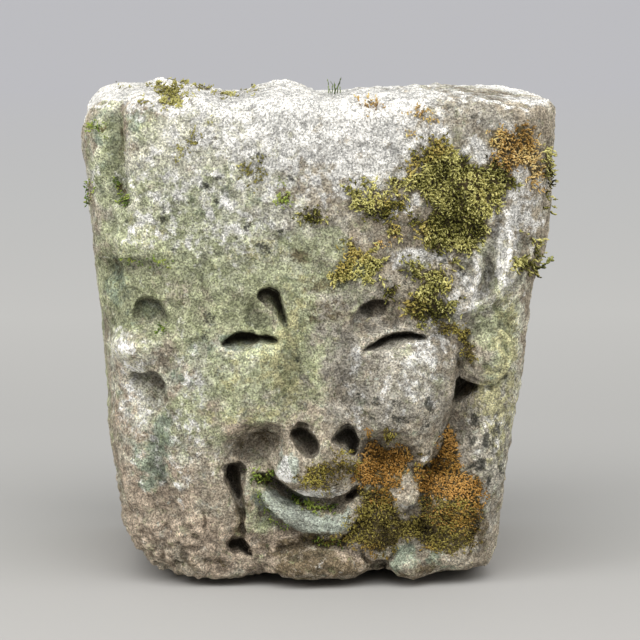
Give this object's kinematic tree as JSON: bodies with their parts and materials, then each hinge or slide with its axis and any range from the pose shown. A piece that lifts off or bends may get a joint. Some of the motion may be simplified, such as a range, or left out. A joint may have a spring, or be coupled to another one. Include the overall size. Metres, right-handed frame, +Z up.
{
  "type": "carved stone corbel",
  "caption": "Weathered stone corbel, a block that narrows to its foot with a worn grotesque mask on its front, a flat back and a flat bed on top.",
  "frame": {"origin": "middle of the flat back, where the block is cut off at the wall's face", "axes": "+X to the right as one faces the mask, +Y into the wall, +Z up"},
  "size_m": [0.3619, 0.2971, 0.3879],
  "materials": {
    "stone": "matte",
    "moss": "matte"
  },
  "bodies": {
    "root": {"corbel": "stone"}
  },
  "joints": []
}
